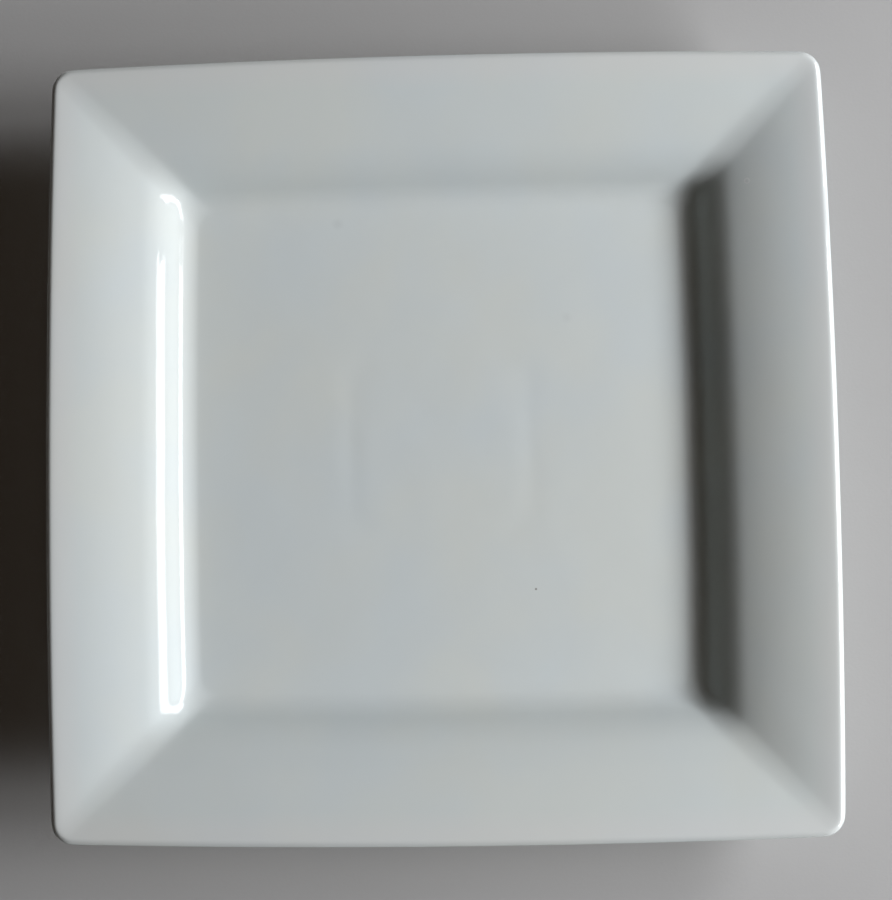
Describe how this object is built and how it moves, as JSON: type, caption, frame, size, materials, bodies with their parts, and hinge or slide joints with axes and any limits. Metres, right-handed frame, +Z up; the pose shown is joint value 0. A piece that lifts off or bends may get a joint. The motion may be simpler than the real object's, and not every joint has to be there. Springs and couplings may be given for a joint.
{
  "type": "square dinner plate",
  "caption": "Square porcelain dinner plate with a flat well, wide sloping rim and foot ring, coated with clear glaze up to its bare standing edges.",
  "frame": {"origin": "middle of the plate, on the surface that it stands on", "axes": "+Z up, out of the well; X and Y square to the plate's sides"},
  "size_m": [0.266, 0.266, 0.0256],
  "materials": {
    "porcelain": "matte",
    "glaze": "gloss"
  },
  "bodies": {
    "root": {"porcelain_body": "porcelain", "face_glaze": "glaze", "base_glaze": "glaze", "centre_glaze": "glaze"}
  },
  "joints": []
}
